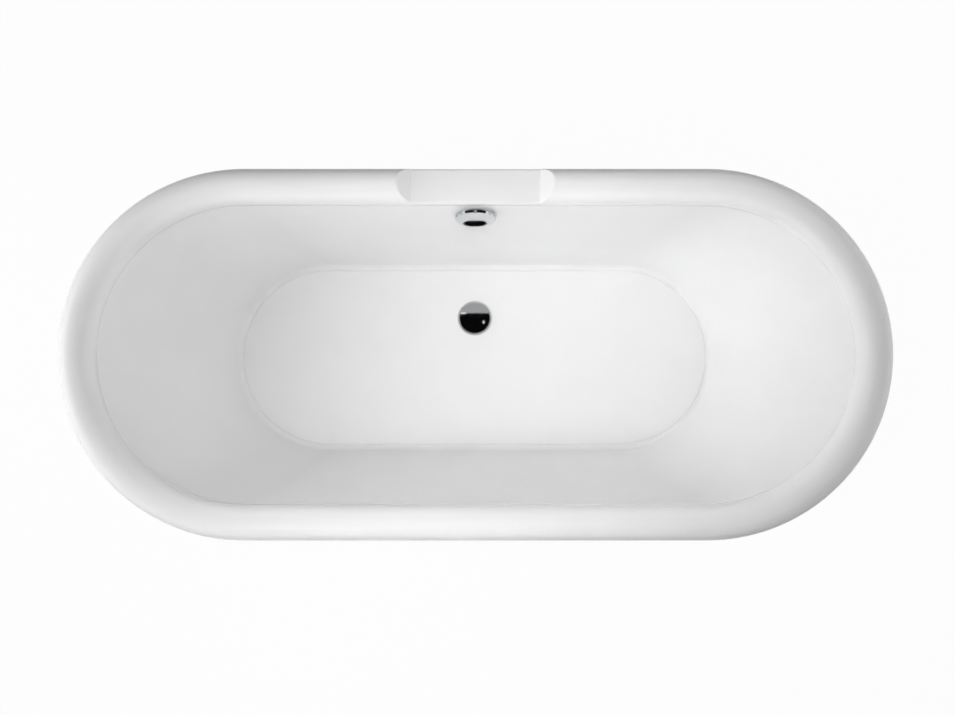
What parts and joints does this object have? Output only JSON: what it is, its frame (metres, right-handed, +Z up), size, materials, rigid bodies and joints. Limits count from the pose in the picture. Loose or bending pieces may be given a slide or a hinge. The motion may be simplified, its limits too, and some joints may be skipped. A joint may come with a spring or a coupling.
{
  "type": "freestanding oval bathtub",
  "caption": "White acrylic oval bath with a rolled rim, a recessed tap ledge, a knob-worked pop-up waste and overflow, a trap, and plated feet with screw levellers.",
  "frame": {"origin": "on the room's floor under the middle of the bath", "axes": "+X along the bath, +Y towards the tap ledge, +Z up"},
  "size_m": [1.7, 0.757, 0.6],
  "materials": {
    "white_acrylic": "polished cast acrylic sheet",
    "white_laminate": "gel-coated glass-fibre laminate",
    "birch_plywood": "sanded plywood",
    "chrome": "bright chrome on brass",
    "chromed_casting": "bright chrome on a casting",
    "zinc_steel": "zinc plate",
    "brass": "turned brass",
    "black_nylon": "moulded nylon",
    "black_rubber": "moulded rubber",
    "grey_polypropylene": "moulded polypropylene",
    "white_polypropylene": "moulded polypropylene",
    "grey_hose": "flexible ribbed hose",
    "cable_sheath": "extruded sheath"
  },
  "bodies": {
    "tub": {"acrylic_shell": "white_acrylic", "glass_fibre_backing": "white_laminate", "base_board": "birch_plywood", "deck_board": "birch_plywood", "drain_flange": "chrome", "overflow_rosette": "chrome", "rear_right_foot": "chromed_casting", "rear_left_foot": "chromed_casting", "front_left_foot": "chromed_casting", "front_right_foot": "chromed_casting", "foot_bolts": "zinc_steel", "foot_washers": "zinc_steel", "hose_clamps": "zinc_steel", "board_inserts": "brass", "plug_guide": "black_nylon", "spindle_bearing": "black_nylon", "drain_upper_gasket": "black_rubber", "drain_lower_gasket": "black_rubber", "trap_seal": "black_rubber", "overflow_front_seal": "black_rubber", "overflow_back_gasket": "black_rubber", "waste_body": "grey_polypropylene", "overflow_body": "grey_polypropylene", "overflow_back_cover": "grey_polypropylene", "cable_glands": "grey_polypropylene", "trap_body": "white_polypropylene", "trap_union_nut": "white_polypropylene", "cable_clips": "white_polypropylene", "overflow_hose": "grey_hose", "control_cable": "cable_sheath"},
    "knob": {"overflow_knob": "chrome", "knob_spindle": "brass", "cable_drum": "black_nylon"},
    "plug": {"popup_plug": "chrome", "plug_seal": "black_rubber", "plug_stem": "brass"},
    "rocker": {"lift_rocker": "black_nylon"},
    "rear_right_pad": {"rear_right_leveller_pad": "black_nylon"},
    "rear_right_stud": {"rear_right_leveller_stud": "zinc_steel"},
    "rear_left_pad": {"rear_left_leveller_pad": "black_nylon"},
    "rear_left_stud": {"rear_left_leveller_stud": "zinc_steel"},
    "front_left_pad": {"front_left_leveller_pad": "black_nylon"},
    "front_left_stud": {"front_left_leveller_stud": "zinc_steel"},
    "front_right_pad": {"front_right_leveller_pad": "black_nylon"},
    "front_right_stud": {"front_right_leveller_stud": "zinc_steel"}
  },
  "joints": [
    {"name": "knob_turn", "type": "hinge", "parent": "tub", "child": "knob", "pos_m": [0, 0.2955, 0.503], "axis": [0, -0.9714, 0.2376], "range_deg": [0, 90]},
    {"name": "plug_lift", "type": "slide", "parent": "tub", "child": "plug", "axis": [0, 0, 1], "range_m": [0, 0.0124]},
    {"name": "rocker_tilt", "type": "hinge", "parent": "tub", "child": "rocker", "pos_m": [0, 0.07609, 0.11566], "axis": [1, 0, 0], "range_deg": [0, 40.1]},
    {"name": "rear_right_level", "type": "slide", "parent": "tub", "child": "rear_right_pad", "axis": [0, 0, -1], "range_m": [-0.005, 0.012]},
    {"name": "rear_right_screw", "type": "hinge", "parent": "rear_right_pad", "child": "rear_right_stud", "pos_m": [0.38983, 0.1726, 0.02], "axis": [0, 0, -1], "range_deg": [-1200, 2880]},
    {"name": "rear_left_level", "type": "slide", "parent": "tub", "child": "rear_left_pad", "axis": [0, 0, -1], "range_m": [-0.005, 0.012]},
    {"name": "rear_left_screw", "type": "hinge", "parent": "rear_left_pad", "child": "rear_left_stud", "pos_m": [-0.38983, 0.1726, 0.02], "axis": [0, 0, -1], "range_deg": [-1200, 2880]},
    {"name": "front_left_level", "type": "slide", "parent": "tub", "child": "front_left_pad", "axis": [0, 0, -1], "range_m": [-0.005, 0.012]},
    {"name": "front_left_screw", "type": "hinge", "parent": "front_left_pad", "child": "front_left_stud", "pos_m": [-0.38983, -0.1726, 0.02], "axis": [0, 0, -1], "range_deg": [-1200, 2880]},
    {"name": "front_right_level", "type": "slide", "parent": "tub", "child": "front_right_pad", "axis": [0, 0, -1], "range_m": [-0.005, 0.012]},
    {"name": "front_right_screw", "type": "hinge", "parent": "front_right_pad", "child": "front_right_stud", "pos_m": [0.38983, -0.1726, 0.02], "axis": [0, 0, -1], "range_deg": [-1200, 2880]}
  ],
  "couplings": [
    {"joint": "plug_lift", "follows": "knob_turn", "m_per_rad": 0.0078385},
    {"joint": "rocker_tilt", "follows": "knob_turn", "ratio": 0.44444},
    {"joint": "rear_right_screw", "follows": "rear_right_level", "rad_per_m": 4188.8},
    {"joint": "rear_left_screw", "follows": "rear_left_level", "rad_per_m": 4188.8},
    {"joint": "front_left_screw", "follows": "front_left_level", "rad_per_m": 4188.8},
    {"joint": "front_right_screw", "follows": "front_right_level", "rad_per_m": 4188.8}
  ]
}
